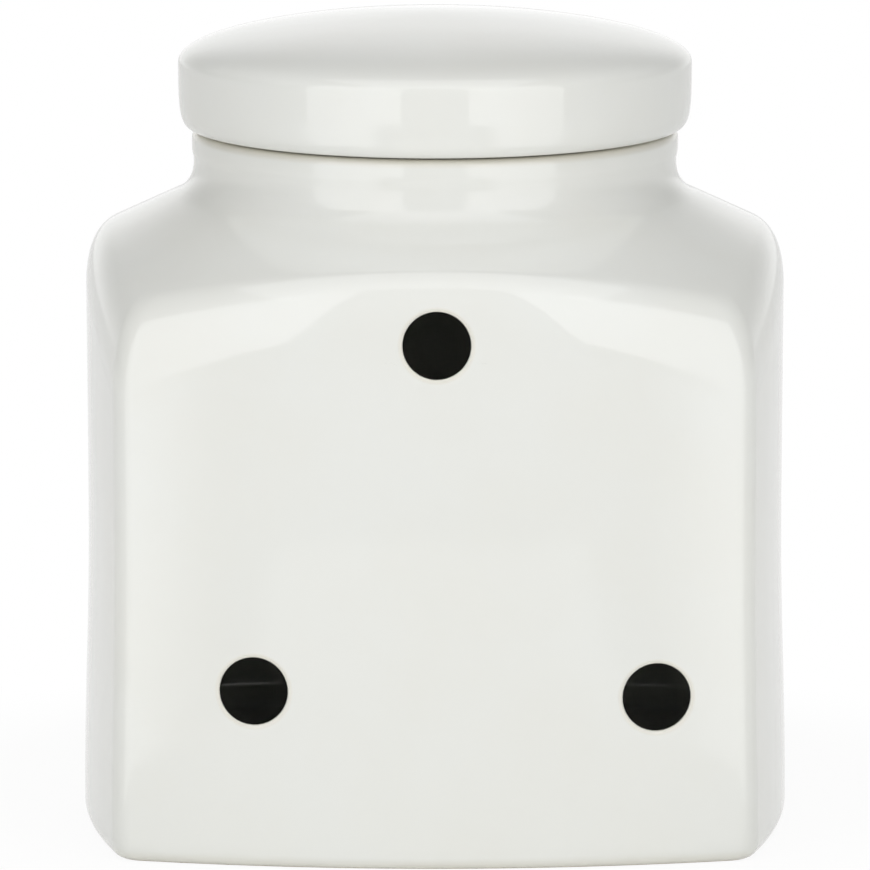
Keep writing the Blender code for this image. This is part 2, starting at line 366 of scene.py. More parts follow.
class SealSizes(bpy.types.PropertyGroup):
    """Sizes of the silicone ring."""

    outer: FloatProperty(
        name="Outer radius", description="Radius at the tips of the lips",
        default=SEAL_HIGH.x, unit="LENGTH", precision=4,
    )
    inner: FloatProperty(
        name="Inner radius", description="Radius of the bore, clear of the groove's floor",
        default=0.0342, unit="LENGTH", precision=4,
    )
    lip: FloatProperty(
        name="Lip", description="How far each lip stands out from the ring",
        default=0.0008, unit="LENGTH", precision=5,
    )


class Colours(bpy.types.PropertyGroup):
    """Colours of the finishes, as sRGB hex."""

    glaze: StringProperty(
        name="Glaze", description="Off-white of the glaze where it lies thick", default="E2E3DF",
    )
    thin_glaze: StringProperty(
        name="Thin glaze", description="Glaze where it runs thin over an edge", default="DBD7CA",
    )
    clay: StringProperty(
        name="Bare clay", description="Fired body on the wiped foot ring", default="D8CFBD",
    )
    clay_speck: StringProperty(
        name="Clay speck", description="Darker grains in the bare clay", default="A8977C",
    )
    silicone: StringProperty(
        name="Silicone", description="Cloudy tint of the clear seal", default="E6E8E4",
    )
    table: StringProperty(
        name="Table", description="Pale table and background", default="F8F8F6",
    )


class StageSettings(bpy.types.PropertyGroup):
    """Camera and lights."""

    camera_distance: FloatProperty(
        name="Camera distance", description="In front of the keeper's middle",
        default=1.600, unit="LENGTH",
    )
    camera_height: FloatProperty(
        name="Camera height", description="Above the table", default=0.3307, unit="LENGTH",
    )
    camera_pitch: FloatProperty(
        name="Camera pitch", description="How far the camera looks down",
        default=math.radians(9.49), unit="ROTATION",
    )
    focal_pixels: FloatProperty(
        name="Focal length", description="Of the lens, in pixels of the picture", default=9496,
    )
    front_light: FloatProperty(
        name="Front lights", description="Brightness of the two front softboxes", default=1.42,
    )
    low_light: FloatProperty(
        name="Low lights", description="Brightness of the two softboxes below the table",
        default=1.5,
    )
    top_light: FloatProperty(
        name="Top light", description="Brightness of the overhead softbox", default=1.10,
    )
    room_light: FloatProperty(
        name="Room light", description="Brightness of the room around", default=0.33,
    )
    back_light: FloatProperty(
        name="Back light", description="Brightness of the low part of the room behind",
        default=3.3,
    )
    mirrored_wall: FloatProperty(
        name="Mirrored wall", description="Strength of the white wall in the glaze's mirror",
        default=1.15,
    )
    mirrored_ceiling: FloatProperty(
        name="Mirrored ceiling", description="Strength of the dim ceiling in the glaze's mirror",
        default=0.2,
    )
    mirrored_studio: FloatProperty(
        name="Mirrored studio", description="Strength of the room by the camera in the mirror",
        default=0.5,
    )
    background: FloatProperty(
        name="Background", description="Strength of the white that the camera and mirrors see",
        default=1.0,
    )


def linear(code):
    """The linear RGBA colour of an sRGB hex code."""
    channels = [int(code[place:place + 2], 16) / 255 for place in (0, 2, 4)]
    lit = [c / 12.92 if c <= 0.04045 else ((c + 0.055) / 1.055) ** 2.4 for c in channels]
    return (*lit, 1.0)


def add_node(tree, kind, inputs=None, **settings):
    """A node with its settings, its inputs set to values or linked from sockets."""
    node = tree.nodes.new(kind)
    for name, value in settings.items():
        setattr(node, name, value)
    for name, value in (inputs or {}).items():
        if isinstance(value, bpy.types.NodeSocket):
            tree.links.new(value, node.inputs[name])
        else:
            node.inputs[name].default_value = value
    return node


def new_material(name):
    """An empty node material and its tree."""
    material = bpy.data.materials.new(name)
    material.use_nodes = True
    material.node_tree.nodes.clear()
    return material, material.node_tree


def finish_material(tree, surface):
    """Send a shader to the material's output."""
    add_node(tree, "ShaderNodeOutputMaterial", {"Surface": surface})


def mix_node(tree, share, first, second):
    """A colour between two, by a share from a socket."""
    mixed = tree.nodes.new("ShaderNodeMix")
    mixed.data_type = "RGBA"
    sockets = {s.identifier: s for s in mixed.inputs}
    for identifier, value in (("Factor_Float", share), ("A_Color", first), ("B_Color", second)):
        if isinstance(value, bpy.types.NodeSocket):
            tree.links.new(value, sockets[identifier])
        else:
            sockets[identifier].default_value = value
    return next(s for s in mixed.outputs if s.identifier == "Result_Color")


def mix_values(tree, share, first, second):
    """A number between two, by a share from a socket."""
    return add_node(tree, "ShaderNodeMix", {0: share, 2: first, 3: second}).outputs[0]


def glaze_look(tree, place, colours):
    """Colour, roughness and surface height of the glaze."""
    clouds = add_node(tree, "ShaderNodeTexNoise", {
        "Vector": place, "Scale": 1 / CLOUD_SIZE, "Detail": 3.0, "Roughness": 0.55,
    })
    cloud_share = add_node(tree, "ShaderNodeMapRange", {
        "Value": clouds.outputs["Fac"], "From Min": 0.35, "From Max": 0.65,
        "To Min": 0.0, "To Max": CLOUD_THINNESS,
    })
    thin = add_node(tree, "ShaderNodeAttribute", attribute_name="thin_glaze")
    thinness = add_node(tree, "ShaderNodeMath", {
        0: thin.outputs["Fac"], 1: cloud_share.outputs["Result"],
    }, operation="ADD", use_clamp=True)
    colour = mix_node(tree, thinness.outputs[0], linear(colours.glaze), linear(colours.thin_glaze))
    roughness = add_node(tree, "ShaderNodeMapRange", {
        "Value": clouds.outputs["Fac"], "From Min": 0.3, "From Max": 0.7,
        "To Min": 0.03, "To Max": 0.06,
    })
    swell = add_node(tree, "ShaderNodeTexNoise", {
        "Vector": place, "Scale": 1 / SWELL_SIZE, "Detail": 1.0,
    })
    ripple = add_node(tree, "ShaderNodeTexNoise", {
        "Vector": place, "Scale": 1 / RIPPLE_SIZE, "Detail": 2.0,
    })
    height = add_node(tree, "ShaderNodeMath", {
        0: ripple.outputs["Fac"], 1: RIPPLE_SHARE, 2: swell.outputs["Fac"],
    }, operation="MULTIPLY_ADD")
    return colour, roughness.outputs["Result"], height.outputs[0]


def clay_look(tree, place, colours):
    """Colour, roughness and surface height of the bare, wiped clay."""
    grain = add_node(tree, "ShaderNodeTexNoise", {
        "Vector": place, "Scale": 1 / GRAIN_SIZE, "Detail": 4.0, "Roughness": 0.6,
    })
    speck_cells = add_node(tree, "ShaderNodeTexVoronoi", {
        "Vector": place, "Scale": 1 / SPECK_SPACING,
    })
    specks = add_node(tree, "ShaderNodeMapRange", {
        "Value": speck_cells.outputs["Distance"], "From Min": 0.10, "From Max": 0.22,
        "To Min": 0.7, "To Max": 0.0,
    })
    colour = mix_node(
        tree, specks.outputs["Result"], linear(colours.clay), linear(colours.clay_speck),
    )
    roughness = add_node(tree, "ShaderNodeMapRange", {
        "Value": grain.outputs["Fac"], "To Min": 0.75, "To Max": 0.95,
    })
    return colour, roughness.outputs["Result"], grain.outputs["Fac"]


def glazed_stoneware(name, colours, bare_below=None):
    """Slip-cast white stoneware, dipped in a clear white glaze and fired glossy.

    The glaze mirrors lights sharply, but its surface swells a little, so that straight
    reflections waver. It runs thin over edges, where the warmer body shows through. Below
    the height bare_below it is wiped off, and the clay there is matt and grainy.
    """
    material, tree = new_material(name)
    place = add_node(tree, "ShaderNodeTexCoord").outputs["Object"]
    colour, roughness, height = glaze_look(tree, place, colours)
    if bare_below is not None:
        clay_colour, clay_roughness, clay_height = clay_look(tree, place, colours)
        up = add_node(tree, "ShaderNodeSeparateXYZ", {"Vector": place}).outputs["Z"]
        rag = add_node(tree, "ShaderNodeTexNoise", {"Vector": place, "Scale": 1 / WIPE_SIZE})
        wiped_edge = add_node(tree, "ShaderNodeMath", {
            0: rag.outputs["Fac"], 1: WIPE_RAG, 2: up,
        }, operation="MULTIPLY_ADD")
        bare = add_node(tree, "ShaderNodeMapRange", {
            "Value": wiped_edge.outputs[0], "From Min": bare_below + WIPE_RAG / 2,
            "From Max": bare_below + WIPE_RAG, "To Min": 1.0, "To Max": 0.0,
        }).outputs["Result"]
        colour = mix_node(tree, bare, colour, clay_colour)
        roughness = mix_values(tree, bare, roughness, clay_roughness)
        height = mix_values(tree, bare, height, clay_height)
    bump = add_node(tree, "ShaderNodeBump", {
        "Height": height, "Strength": 1.0, "Distance": SWELL_HEIGHT,
    })
    shader = add_node(tree, "ShaderNodeBsdfPrincipled", {
        "Base Color": colour, "Roughness": roughness, "Normal": bump.outputs["Normal"],
        "IOR": GLAZE_INDEX,
    })
    finish_material(tree, shader.outputs["BSDF"])
    return material


def clear_silicone(name, colours):
    """Moulded silicone rubber: cloudy and soft-looking, with the satin of a blasted mould."""
    material, tree = new_material(name)
    place = add_node(tree, "ShaderNodeTexCoord").outputs["Object"]
    haze = add_node(tree, "ShaderNodeTexNoise", {
        "Vector": place, "Scale": 1 / HAZE_SIZE, "Detail": 2.0,
    })
    value = add_node(tree, "ShaderNodeMapRange", {
        "Value": haze.outputs["Fac"], "To Min": 0.92, "To Max": 1.0,
    })
    tint = add_node(tree, "ShaderNodeHueSaturation", {
        "Value": value.outputs["Result"], "Color": linear(colours.silicone),
    })
    blast = add_node(tree, "ShaderNodeTexNoise", {
        "Vector": place, "Scale": 1 / BLAST_SIZE, "Detail": 1.0,
    })
    satin = add_node(tree, "ShaderNodeMapRange", {
        "Value": blast.outputs["Fac"], "To Min": 0.36, "To Max": 0.52,
    })
    bump = add_node(tree, "ShaderNodeBump", {
        "Height": blast.outputs["Fac"], "Strength": 0.4, "Distance": SWELL_HEIGHT,
    })
    shader = add_node(tree, "ShaderNodeBsdfPrincipled", {
        "Base Color": tint.outputs["Color"], "Roughness": satin.outputs["Result"],
        "Normal": bump.outputs["Normal"], "IOR": SILICONE_INDEX,
        "Transmission Weight": SILICONE_CLEARNESS,
    })
    finish_material(tree, shader.outputs["BSDF"])
    return material


def pale_table(name, colours, background):
    """Matt white laminate, which the camera and the glaze's mirror see mostly as plain white.

    The share of plain white leaves the keeper's shadow close round its foot, and is whole
    further out, so that the table's edges don't show.
    """
    material, tree = new_material(name)
    place = add_node(tree, "ShaderNodeTexCoord").outputs["Object"]
    tooth = add_node(tree, "ShaderNodeTexNoise", {
        "Vector": place, "Scale": 1 / TABLE_TOOTH, "Detail": 2.0,
    })
    roughness = add_node(tree, "ShaderNodeMapRange", {
        "Value": tooth.outputs["Fac"], "To Min": 0.55, "To Max": 0.7,
    })
    board = add_node(tree, "ShaderNodeBsdfPrincipled", {
        "Base Color": linear(colours.table), "Roughness": roughness.outputs["Result"],
    })
    glow = add_node(tree, "ShaderNodeEmission", {"Strength": background})
    away = add_node(tree, "ShaderNodeVectorMath", {0: place}, operation="LENGTH")
    seen = add_node(tree, "ShaderNodeMapRange", {
        "Value": away.outputs["Value"],
        "From Min": SHADOW_FADE_FROM, "From Max": SHADOW_FADE_TO, "To Min": TABLE_GLOW_SEEN,
    }, interpolation_type="SMOOTHSTEP")
    camera_ray = add_node(tree, "ShaderNodeLightPath").outputs["Is Camera Ray"]
    most = mix_values(tree, camera_ray, TABLE_GLOW_MIRRORED, seen.outputs["Result"])
    share = add_node(tree, "ShaderNodeMath", {
        0: seen_as_background(tree), 1: most,
    }, operation="MULTIPLY")
    mixed = add_node(tree, "ShaderNodeMixShader", {
        0: share.outputs[0], 1: board.outputs["BSDF"], 2: glow.outputs["Emission"],
    })
    finish_material(tree, mixed.outputs["Shader"])
    return material


def seen_as_background(tree):
    """1 for a ray that the camera, a mirror or glass sends out, and 0 for light itself."""
    path = add_node(tree, "ShaderNodeLightPath")
    first = add_node(tree, "ShaderNodeMath", {
        0: path.outputs["Is Camera Ray"], 1: path.outputs["Is Glossy Ray"],
    }, operation="ADD", use_clamp=True)
    both = add_node(tree, "ShaderNodeMath", {
        0: first.outputs[0], 1: path.outputs["Is Transmission Ray"],
    }, operation="ADD", use_clamp=True)
    return both.outputs[0]


def arc(centre, radius, start, end, steps):
    """Points on a circle from one angle to another, both ends included."""
    turn = (end - start) / steps
    angles = [start + turn * step for step in range(steps + 1)]
    return [(centre[0] + radius * math.cos(a), centre[1] + radius * math.sin(a)) for a in angles]


def blend(ends, weights):
    """The weighted sum of points with two coordinates."""
    return tuple(sum(w * e[axis] for w, e in zip(weights, ends)) for axis in (0, 1))


def line(start, end, steps):
    """Evenly spaced points on a straight line, both ends included."""
    return [blend((start, end), (1 - s / steps, s / steps)) for s in range(steps + 1)]


def bezier(start, first_handle, second_handle, end, steps):
    """Points on a cubic curve, both ends included."""
    ends = (start, first_handle, second_handle, end)
    shares = [s / steps for s in range(steps + 1)]
    return [
        blend(ends, ((1 - t) ** 3, 3 * t * (1 - t) ** 2, 3 * t * t * (1 - t), t ** 3))
        for t in shares
    ]


def soft_corner(before, corner, after, steps):
    """A curve that leaves one line and meets the next, pulled towards their common corner."""
    ends = (before, corner, after)
    shares = [s / steps for s in range(steps + 1)]
    return [blend(ends, ((1 - t) ** 2, 2 * t * (1 - t), t * t)) for t in shares]


def rounded_path(corners, steps, closed=False):
    """A line through corners of (radius, height, rounding), each corner drawn as a curve."""
    path = []
    count = len(corners)
    for index, (x, y, rounding) in enumerate(corners):
        here = Vector((x, y))
        if rounding == 0 or (not closed and index in (0, count - 1)):
            path.append(tuple(here))
            continue
        before = Vector(corners[index - 1][:2])
        after = Vector(corners[(index + 1) % count][:2])
        start = here + (before - here).normalized() * rounding
        end = here + (after - here).normalized() * rounding
        path += soft_corner(start, here, end, steps)
    return path


def smooth_step(value, low, high):
    """0 below the low value, 1 above the high one, with an even start and stop between."""
    share = min(max((value - low) / (high - low), 0), 1)
    return (1 - math.cos(math.pi * share)) / 2


def turned(profile, steps, closed=False):
    """A bmesh turned once round Z from radius and height points, its rows numbered by point."""
    made = bmesh.new()
    row = made.verts.layers.int.new("row")
    made.verts.layers.float.new("thin_glaze")
    points = []
    for index, (radius, height) in enumerate(profile):
        vert = made.verts.new((radius, 0, height))
        vert[row] = index
        points.append(vert)
    for here, after in zip(points, points[1:]):
        made.edges.new((here, after))
    if closed:
        made.edges.new((points[-1], points[0]))
    bmesh.ops.spin(
        made, geom=made.verts[:] + made.edges[:], cent=(0, 0, 0), axis=(0, 0, 1),
        dvec=(0, 0, 0), angle=2 * math.pi, steps=steps, use_merge=True,
        use_normal_flip=False, use_duplicate=False,
    )
    poles = [v for v in made.verts if v.co.xy.length < POLE_RADIUS]
    bmesh.ops.remove_doubles(made, verts=poles, dist=2 * POLE_RADIUS)
    return made


def finish_piece(made, name, material, body):
    """Turn a bmesh into a smooth-shaded object that stands for the CAD node of its name."""
    bmesh.ops.recalc_face_normals(made, faces=made.faces)
    mesh = bpy.data.meshes.new(name + "_skin")
    made.to_mesh(mesh)
    made.free()
    mesh.shade_smooth()
    mesh.materials.append(material)
    piece = bpy.data.objects.new(name + "_skin", mesh)
    bpy.context.scene.collection.objects.link(piece)
    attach(piece, body)
    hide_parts(name)
    return piece


def plan_outline(half_width, bow_radius, corner_radius):
    """The jar's outline from above, once round from the middle of the +X face."""
    bow_centre = half_width - bow_radius
    reach = (bow_radius - corner_radius) ** 2
    corner = (bow_centre + math.sqrt(2 * reach - bow_centre ** 2)) / 2
    half_face = math.atan2(corner, corner - bow_centre)
    rest = math.pi / 2 - half_face
    quarter = arc((bow_centre, 0), bow_radius, 0, half_face, FACE_COLUMNS)[:-1]
    quarter += arc((corner, corner), corner_radius, half_face, rest, CORNER_COLUMNS)[:-1]
    quarter += arc((0, bow_centre), bow_radius, rest, math.pi / 2, FACE_COLUMNS)[:-1]
    turns = (lambda x, y: (x, y), lambda x, y: (-y, x), lambda x, y: (-x, -y), lambda x, y: (y, -x))
    return [turn(x, y) for turn in turns for x, y in quarter]


def wall_inset(jar, height):
    """How far the moulded wall stands inside the foot's outline at a height."""
    shoulder_height = jar.rim_height - jar.neck_height
    to_waist = smooth_step(height, jar.foot_rounding, jar.waist_height)
    past_waist = smooth_step(height, jar.waist_height, shoulder_height)
    return jar.waist_inset * to_waist + (jar.shoulder_inset - jar.waist_inset) * past_waist


def shoulder_profile(jar, reach, neck_radius, line_height, fillet_radius, edge_run, edge_drop):
    """Radius and height from the neck's foot, down the shoulder and round its edge to the wall."""
    run = reach - neck_radius
    down = Vector((math.cos(jar.shoulder_slope), -math.sin(jar.shoulder_slope)))
    tangent = fillet_radius * math.tan((math.pi / 2 - jar.shoulder_slope) / 2)
    corner = Vector((neck_radius, line_height))
    edge_corner = Vector((reach, line_height - run * math.tan(jar.shoulder_slope)))
    fillet_end = corner + down * tangent
    edge_start = edge_corner - down * edge_run
    below = edge_corner - Vector((0, edge_drop))
    profile = soft_corner(corner + Vector((0, tangent)), corner, fillet_end, FILLET_ROWS)
    profile += line(fillet_end, edge_start, SHOULDER_ROWS)[1:-1]
    profile += soft_corner(edge_start, edge_corner, below, EDGE_ROWS)
    wall_top = profile[-1][1]
    profile[-1] = (reach + jar.shoulder_inset - wall_inset(jar, wall_top), wall_top)
    return profile


def wall_profile(jar, reach, top, bottom, rows):
    """Radius and height down the wall, both ends left out."""
    heights = [top + (bottom - top) * row / rows for row in range(1, rows)]
    return [(reach - wall_inset(jar, height), height) for height in heights]


def jar_outside(jar, reach):
    """Radius and height of the jar's outside in one direction, from under its base to the rim."""
    rim_radius = jar.neck_radius + jar.rim_bead
    rim = jar.rim_height
    rounding = jar.rim_rounding
    beyond = reach - jar.half_width
    line_height = rim - jar.neck_height
    fillet_top = line_height + jar.neck_fillet * math.tan((math.pi / 2 - jar.shoulder_slope) / 2)
    down = arc((rim_radius - rounding, rim - rounding), rounding, math.pi / 2, 0, RIM_ROWS)
    bead = (rim_radius, rim - 2 * rounding)
    middle = (bead[1] + fillet_top) / 2
    down += bezier(bead, (rim_radius, middle), (jar.neck_radius, middle),
                   (jar.neck_radius, fillet_top), NECK_ROWS)[:-1]
    down += shoulder_profile(
        jar, reach - jar.shoulder_inset, jar.neck_radius, line_height, jar.neck_fillet,
        jar.edge_run + EDGE_RUN_SPREAD * beyond, jar.edge_drop + EDGE_DROP_SPREAD * beyond,
    )
    foot_rounding = jar.foot_rounding + FOOT_SPREAD * beyond
    down += wall_profile(jar, reach, down[-1][1], foot_rounding, WALL_ROWS)
    foot = (reach - foot_rounding, foot_rounding)
    down += arc(foot, foot_rounding, 0, -math.pi / 2, FOOT_ROWS)
    ring_edge = foot[0] - jar.foot_ring
    recess = ring_edge - jar.foot_recess
    down += rounded_path((
        (foot[0], 0, 0), (ring_edge, 0, RECESS_ROUNDING),
        (recess, jar.foot_recess, RECESS_ROUNDING), (0, jar.foot_recess, 0),
    ), RECESS_ROWS)[1:-1]
    under = down[-1]
    down += line(under, (0, under[1]), BASE_ROWS)[1:]
    return down[::-1]


def jar_inside(jar, reach):
    """Radius and height of the jar's inside in one direction, from the rim to the floor."""
    bore = jar.neck_radius - jar.wall
    rim = jar.rim_height
    rounding = jar.rim_rounding
    beyond = reach - (jar.half_width - jar.wall)
    turn = math.tan((math.pi / 2 - jar.shoulder_slope) / 2)
    thickness_up = jar.wall / math.cos(jar.shoulder_slope)
    line_height = rim - jar.neck_height + jar.wall * math.tan(jar.shoulder_slope) - thickness_up
    fillet = jar.neck_fillet + jar.wall
    down = arc((bore + rounding, rim - rounding), rounding, math.pi / 2, math.pi, RIM_ROWS)
    down += line(down[-1], (bore, line_height + fillet * turn), NECK_ROWS)[1:-1]
    down += shoulder_profile(
        jar, reach - jar.shoulder_inset, bore, line_height, fillet,
        jar.edge_run - jar.wall * turn + EDGE_RUN_SPREAD * beyond,
        jar.edge_drop - jar.wall * turn + EDGE_DROP_SPREAD * beyond,
    )
    floor = jar.foot_recess + jar.wall
    low = floor + jar.floor_rounding
    down += wall_profile(jar, reach, down[-1][1], low, INSIDE_ROWS)
    foot = (reach - wall_inset(jar, low) - jar.floor_rounding, low)
    down += arc(foot, jar.floor_rounding, 0, -math.pi / 2, FOOT_ROWS)
    down += line(down[-1], (0, floor), BASE_ROWS)[1:]
    return down


def glaze_thinness(jar, radius, height):
    """How thin the glaze runs at a place: 1 on the rim's crown, less round the foot's edge."""
    from_rim = jar.rim_height - height
    if from_rim < jar.rim_rounding:
        return 1 - from_rim / jar.rim_rounding
    if height < jar.foot_rounding and radius > jar.half_width / 2:
        return FOOT_THINNESS * (1 - height / jar.foot_rounding)
    return 0.0


def shape_jar(made, jar):
    """Move every point of the turned jar out to its place on the square body."""
    row = made.verts.layers.int["row"]
    thin = made.verts.layers.float["thin_glaze"]
    outer = plan_outline(jar.half_width, jar.bow_radius, jar.corner_radius)
    inner = plan_outline(jar.half_width - jar.wall, jar.bow_radius - jar.wall, jar.inner_corner)
    columns = []
    for across, within in zip(outer, inner):
        outward, inward = Vector(across), Vector(within)
        outside = [(outward.normalized() * r, h) for r, h in jar_outside(jar, outward.length)]
        inside = [(inward.normalized() * r, h) for r, h in jar_inside(jar, inward.length)]
        columns.append(outside + inside)
    for vert in made.verts:
        turn = math.atan2(vert.co.y, vert.co.x) / (2 * math.pi)
        place, height = columns[round(turn * len(columns)) % len(columns)][vert[row]]
        vert.co = (place.x, place.y, height)
        vert[thin] = glaze_thinness(jar, place.length, height)


def open_patch(made, centre, size, rows):
    """Remove the skin round a vent on the rows given, and return the edges left open."""
    row = made.verts.layers.int["row"]
    patch = set()
    for face in made.faces:
        middle = face.calc_center_median()
        off = math.hypot(middle.x - centre[0], middle.z - centre[1])
        if middle.y < 0 and off < size and all(v[row] in rows for v in face.verts):
            patch.add(face)
    touched = {edge for face in patch for edge in face.edges}
    border = [e for e in touched if not patch.issuperset(e.link_faces)]
    bmesh.ops.delete(made, geom=list(patch), context="FACES")
    return border


def loop_round(edges, centre):
    """The points of a closed loop of edges in their order, anticlockwise seen from the front."""
    members = set(edges)
    edge = edges[0]
    vert = edge.verts[0]
    loop = []
    for _ in edges:
        loop.append(vert)
        vert = edge.other_vert(vert)
        edge = next(e for e in vert.link_edges if e in members and e != edge)
    flat = [Vector((v.co.x - centre[0], v.co.z - centre[1])) for v in loop]
    area = sum(here.cross(after) for here, after in zip(flat, flat[1:] + flat[:1]))
    return loop if area > 0 else loop[::-1]


def draw_ring(made, edges, centre, radius, depth, skin, facing, thin_share, evenness=1.0):
    """Pull an open loop in to a circle round the vent, at a depth below the skin.

    An evenness of 1 spaces the points evenly; below 1 they stay nearer to their old directions.
    """
    grown = bmesh.ops.extrude_edge_only(made, edges=edges)["geom"]
    fresh = {g for g in grown if isinstance(g, bmesh.types.BMVert)}
    ring = [g for g in grown if isinstance(g, bmesh.types.BMEdge) and fresh.issuperset(g.verts)]
    thin = made.verts.layers.float["thin_glaze"]
    loop = loop_round(ring, centre)
    step = 2 * math.pi / len(loop)
    offsets = [
        math.atan2(v.co.z - centre[1], v.co.x - centre[0]) - index * step
        for index, v in enumerate(loop)
    ]
    start = math.atan2(sum(math.sin(o) for o in offsets), sum(math.cos(o) for o in offsets))
    for index, vert in enumerate(loop):
        astray = math.remainder(offsets[index] - start, 2 * math.pi)
        turn = start + index * step + astray * (1 - evenness)
        x = centre[0] + radius * math.cos(turn)
        z = centre[1] + radius * math.sin(turn)
        vert.co = (x, surface_y(skin, x, z, facing) + facing * depth, z)
        vert[thin] = thin_share
    return ring


def surface_y(skin, x, z, facing):
    """Where a line along Y meets the front wall's outside (facing 1) or inside (facing -1)."""
    start = Vector((x, -1 if facing > 0 else 0, z))
    return skin.ray_cast(start, Vector((0, facing, 0)))[0].y


def open_vent(made, jar, vents, centre, outside_rows, inside_rows):
    """Cut one vent with glazed, rounded edges through both skins of the front wall."""
    skin = BVHTree.FromBMesh(made)
    bores = []
    sides = ((outside_rows, 1, vents.radius), (inside_rows, -1, vents.radius + vents.flare))
    for rows, facing, bore in sides:
        ring = open_patch(made, centre, bore + VENT_MARGIN, rows)
        rim = bore + vents.rounding
        for band, evenness in ((VENT_BAND, 0.5), (VENT_BAND / 2, 1.0)):
            ring = draw_ring(made, ring, centre, rim + band, 0, skin, facing, 0, evenness)
        for step in range(VENT_ROWS + 1):
            lean = math.pi / 2 * step / VENT_ROWS
            radius = rim - vents.rounding * math.sin(lean)
            depth = vents.rounding * (1 - math.cos(lean))
            ring = draw_ring(made, ring, centre, radius, depth, skin, facing, VENT_THINNESS)
        bores += ring
    bmesh.ops.bridge_loops(made, edges=bores)


class KEEPER_OT_jar(bpy.types.Operator):
    """Model the square jar with its neck, foot ring and vents"""

    bl_idname = "keeper.jar"
    bl_label = "Jar"

    def execute(self, context):
        jar = context.scene.keeper_jar
        vents = context.scene.keeper_vents
        outside = jar_outside(jar, jar.half_width)
        inside = jar_inside(jar, jar.half_width - jar.wall)
        quarter_columns = 2 * FACE_COLUMNS + CORNER_COLUMNS
        made = turned(outside + inside, 4 * quarter_columns)
        shape_jar(made, jar)
        outside_rows = range(len(outside))
        inside_rows = range(len(outside), len(outside) + len(inside))
        for centre in (vents.top_place, vents.left_place, vents.right_place):
            open_vent(made, jar, vents, centre, outside_rows, inside_rows)
        material = glazed_stoneware(
            "glazed_stoneware", context.scene.keeper_colours, bare_below=BARE_HEIGHT,
        )
        finish_piece(made, "jar", material, "jar")
        return {"FINISHED"}


def lid_profile(lid, rim_height, bore):
    """The lid's outline, from the top of the dome, down and round to the roof of the hollow."""
    seat = rim_height + lid.seat_gap
    side = seat + lid.side_height
    dome_rise = (lid.top - side) * DOME_RISE_SHARE
    profile = bezier(
        (0, lid.top), (lid.radius * DOME_RUN_SHARE, lid.top), (lid.radius, side + dome_rise),
        (lid.radius, side), DOME_ROWS,
    )
    run = (lid.radius - lid.seat_radius) * SIDE_RUN_SHARE
    profile += bezier(
        (lid.radius, side), (lid.radius, side - lid.side_height * SIDE_DROP_SHARE),
        (lid.seat_radius + run, seat), (lid.seat_radius, seat), SIDE_ROWS,
    )[1:]
    spigot = bore - lid.spigot_clearance
    groove = spigot - lid.groove_depth
    groove_top = seat - lid.groove_drop
    groove_bottom = groove_top - lid.groove_height
    inner = spigot - lid.spigot_wall
    ledge = seat + lid.wall
    hollow = lid.radius - lid.wall
    soft, small = lid.spigot_rounding, lid.groove_rounding
    profile += rounded_path((
        (lid.seat_radius, seat, 0),
        (spigot, seat, soft),
        (spigot, groove_top, small),
        (groove, groove_top, small),
        (groove, groove_bottom, small),
        (spigot, groove_bottom, small),
        (spigot, lid.bottom, soft),
        (inner, lid.bottom, soft),
        (inner, ledge, soft),
        (hollow, ledge, lid.hollow_rounding),
        (hollow, side, 0),
    ), CORNER_ROWS)[1:-1]
    roof = lid.top - lid.wall
    roof_rise = (roof - side) * DOME_RISE_SHARE
    profile += bezier(
        (hollow, side), (hollow, side + roof_rise), (hollow * DOME_RUN_SHARE, roof),
        (0, roof), ROOF_ROWS,
    )
    return profile


class KEEPER_OT_lid(bpy.types.Operator):
    """Model the hollow lid with its dome, rounded side and grooved spigot"""

    bl_idname = "keeper.lid"
    bl_label = "Lid"

    def execute(self, context):
        jar = context.scene.keeper_jar
        profile = lid_profile(context.scene.keeper_lid, jar.rim_height, jar.neck_radius - jar.wall)
        made = turned(profile, LID_COLUMNS)
        material = glazed_stoneware("glazed_stoneware_lid", context.scene.keeper_colours)
        finish_piece(made, "lid", material, "lid")
        return {"FINISHED"}


class KEEPER_OT_seal(bpy.types.Operator):
    """Model the silicone ring with its two soft lips"""

    bl_idname = "keeper.seal"
    bl_label = "Seal"

    def execute(self, context):
        seal = context.scene.keeper_seal
        top, bottom = SEAL_HIGH.z, SEAL_LOW.z
        third = (top - bottom) / 3
        waist = seal.outer - seal.lip
        soft = seal.lip / 3
        profile = rounded_path((
            (seal.inner, top, soft),
            (waist, top, soft / 2),
            (seal.outer, top - third / 2, soft),
            (waist, top - third, soft),
            (waist, bottom + third, soft),
            (seal.outer, bottom + third / 2, soft),
            (waist, bottom, soft / 2),
            (seal.inner, bottom, soft),
        ), CORNER_ROWS, closed=True)
        made = turned(profile, SEAL_COLUMNS, closed=True)
        material = clear_silicone("clear_silicone", context.scene.keeper_colours)
        finish_piece(made, "lid_seal", material, "lid_seal")
        return {"FINISHED"}


def add_softbox(name, place, aim, size, brightness):
    """A rectangular light that shines at a point, of a brightness where 1 shows as white."""
    lamp = bpy.data.lights.new(name, "AREA")
    lamp.shape = "RECTANGLE"
    lamp.size, lamp.size_y = size
    lamp.energy = brightness * math.pi * size[0] * size[1]
    light = bpy.data.objects.new(name, lamp)
    light.location = place
    light.rotation_euler = (Vector(aim) - Vector(place)).to_track_quat("-Z", "Y").to_euler()
    light.visible_camera = False
    bpy.context.scene.collection.objects.link(light)
    return light


